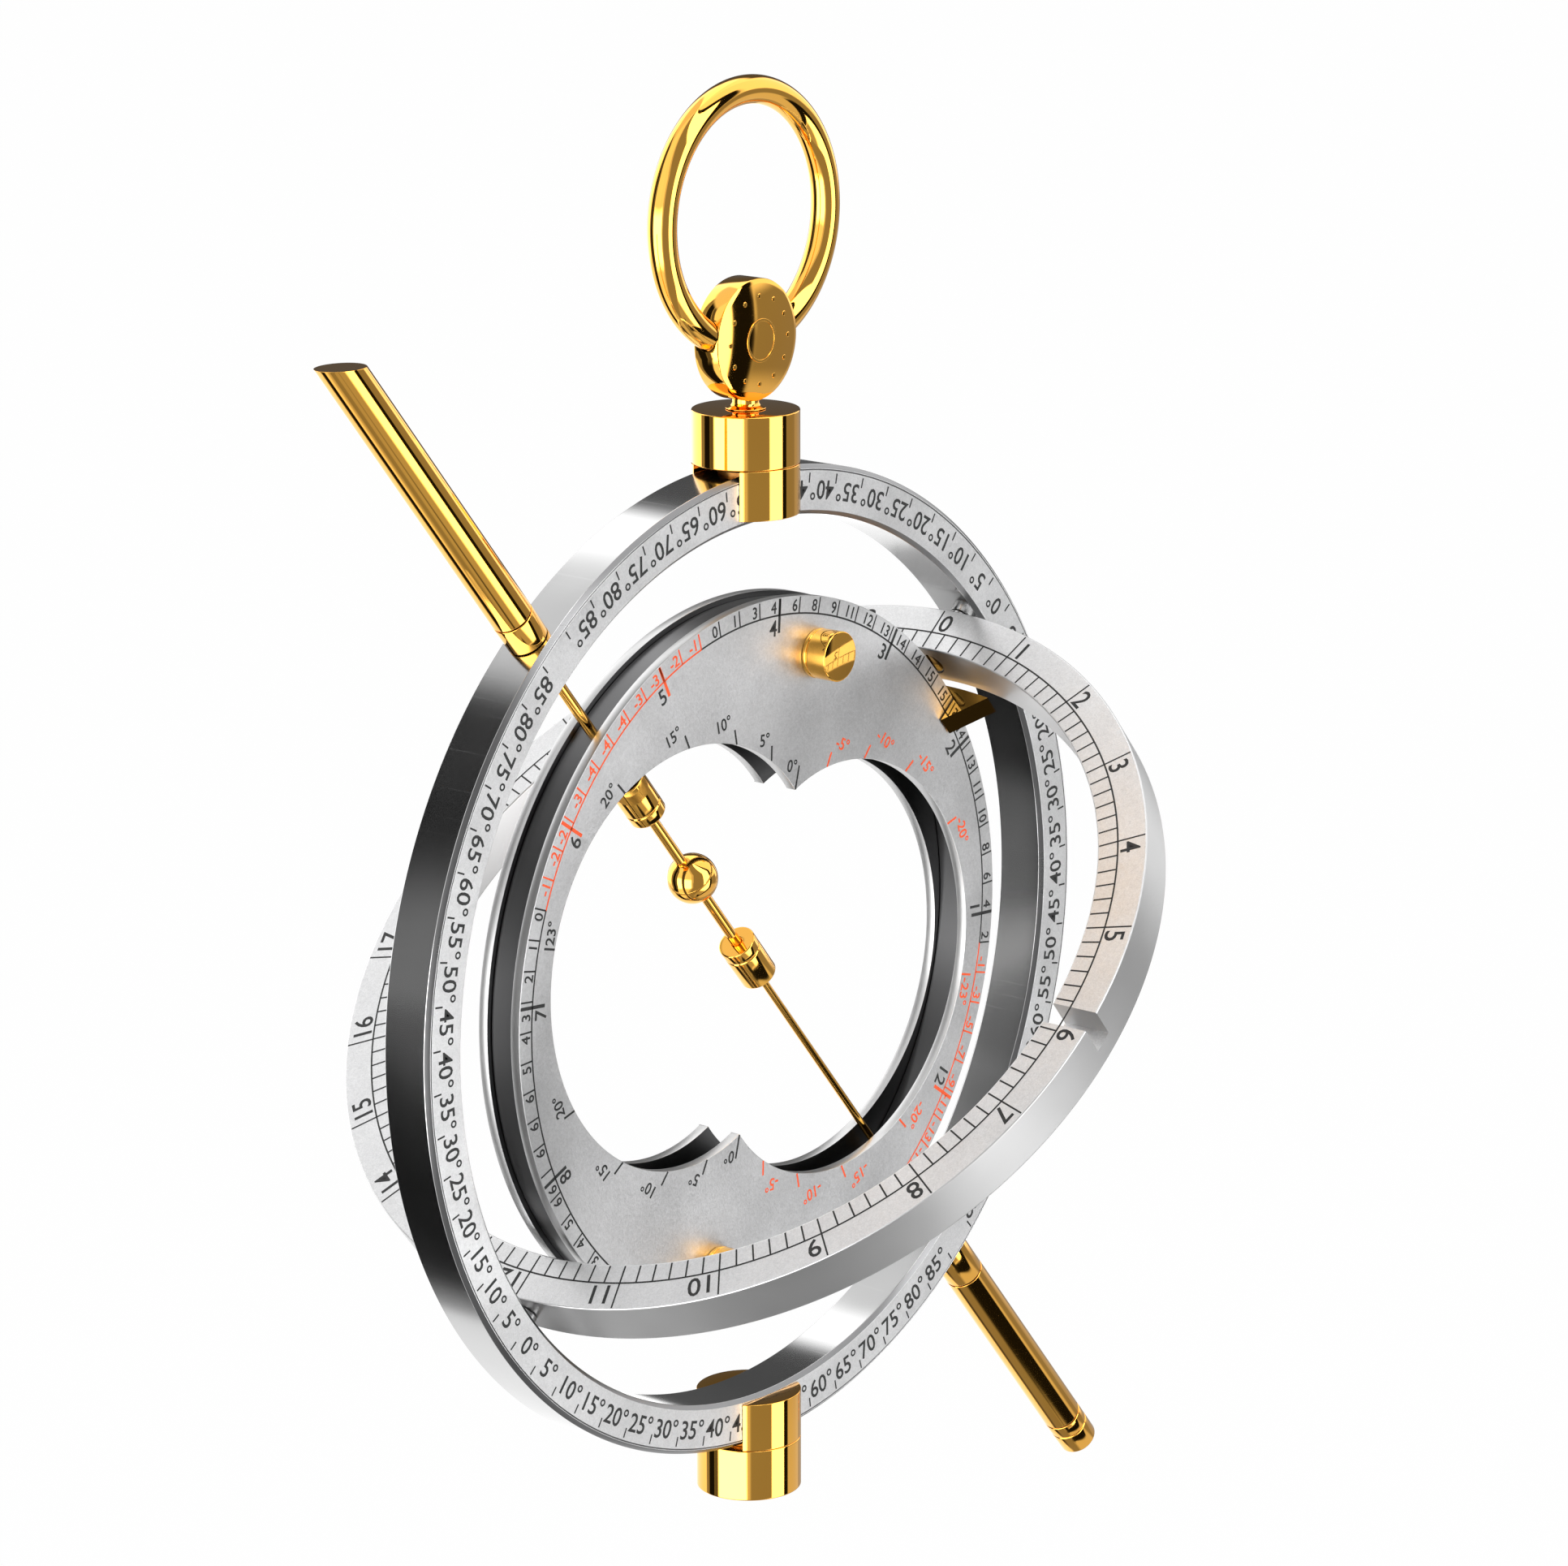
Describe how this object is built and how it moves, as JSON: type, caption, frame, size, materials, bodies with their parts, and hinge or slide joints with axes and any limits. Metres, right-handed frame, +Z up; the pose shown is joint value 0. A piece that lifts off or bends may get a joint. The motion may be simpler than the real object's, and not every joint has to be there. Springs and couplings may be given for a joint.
{
  "type": "universal ring sundial",
  "caption": "Hanging equinoctial ring sundial with a folding hour ring, a turning polar axle and a date disc whose cam sets a bead on the polar wire.",
  "frame": {"origin": "hang point: inside the top of the suspension ring, in the meridian plane", "axes": "+Z up along the line of suspension; the meridian ring lies in the XZ plane with its numbered front face towards -Y; the upper pole leans towards -X at the set latitude of 50 degrees"},
  "size_m": [0.1062, 0.0794, 0.1419],
  "materials": {
    "polished_gold": "polished gold plate over brass",
    "satin_steel": "satin face, polished rim",
    "dark_steel": "dark polished",
    "spring_steel": "plain",
    "bronze": "plain bearing bronze"
  },
  "bodies": {
    "suspension": {"suspension_ring": "polished_gold"},
    "bail": {"bail_disc": "polished_gold", "swivel_washer": "polished_gold", "swivel_nut": "polished_gold"},
    "top_slider": {"top_slider_cap": "polished_gold", "top_slider_jaws": "polished_gold", "top_slider_screws": "polished_gold", "top_slider_pad": "bronze", "top_slider_spring": "spring_steel"},
    "meridian": {"meridian_ring": "satin_steel", "axle_bushes": "bronze", "hour_pivot_screws": "satin_steel", "hour_pivot_washers": "satin_steel"},
    "bottom_slider": {"bottom_slider_cap": "polished_gold", "bottom_slider_jaws": "polished_gold", "bottom_slider_screws": "polished_gold", "bottom_slider_pad": "bronze", "bottom_slider_spring": "spring_steel"},
    "hour_circle": {"hour_ring": "satin_steel"},
    "polar_axle": {"carrier_ring": "dark_steel", "axle_pins": "polished_gold", "polar_wire": "polished_gold", "upper_handle_foot": "polished_gold", "upper_handle": "polished_gold", "lower_handle_foot": "polished_gold", "lower_handle": "polished_gold", "lower_handle_cap": "polished_gold", "hour_index": "polished_gold", "index_screw": "polished_gold"},
    "front_date": {"front_date_plate": "satin_steel", "front_knobs": "polished_gold", "front_clamp_shoes": "bronze"},
    "rear_date": {"rear_date_plate": "satin_steel", "rear_knobs": "polished_gold", "rear_clamp_shoes": "bronze"},
    "shuttle": {"shuttle_tube": "polished_gold", "shadow_bead": "polished_gold", "upper_collar": "polished_gold", "lower_collar": "polished_gold"}
  },
  "joints": [
    {"name": "bail_slide", "type": "hinge", "parent": "suspension", "child": "bail", "pos_m": [0, 0, -0.00985], "axis": [0, 1, 0], "range_deg": [-120, 120]},
    {"name": "swivel", "type": "hinge", "parent": "bail", "child": "top_slider", "pos_m": [0, 0, -0.0268], "axis": [0, 0, 1], "continuous": true},
    {"name": "latitude_setting", "type": "hinge", "parent": "top_slider", "child": "meridian", "pos_m": [0, 0, -0.0773], "axis": [0, 1, 0], "range_deg": [-125, 25]},
    {"name": "bottom_slider_setting", "type": "hinge", "parent": "meridian", "child": "bottom_slider", "pos_m": [0, 0, -0.0773], "axis": [0, 1, 0], "range_deg": [-25, 125]},
    {"name": "hour_ring_fold", "type": "hinge", "parent": "meridian", "child": "hour_circle", "pos_m": [0, 0, -0.0773], "axis": [-0.766, 0, -0.6428], "range_deg": [0, 90]},
    {"name": "axle_turn", "type": "hinge", "parent": "meridian", "child": "polar_axle", "pos_m": [0, 0, -0.0773], "axis": [-0.6428, 0, 0.766], "continuous": true},
    {"name": "front_date_setting", "type": "hinge", "parent": "polar_axle", "child": "front_date", "pos_m": [0, 0, -0.0773], "axis": [0, -1, 0], "range_deg": [0, 109.3]},
    {"name": "rear_date_setting", "type": "hinge", "parent": "polar_axle", "child": "rear_date", "pos_m": [0, 0, -0.0773], "axis": [0, -1, 0], "range_deg": [0, 109.3]},
    {"name": "shuttle_travel", "type": "slide", "parent": "polar_axle", "child": "shuttle", "axis": [-0.6428, 0, 0.766], "range_m": [-0.02361, 0]}
  ],
  "couplings": [
    {"joint": "rear_date_setting", "follows": "front_date_setting", "ratio": 1},
    {"joint": "shuttle_travel", "follows": "front_date_setting", "m_per_rad": -0.012379}
  ]
}
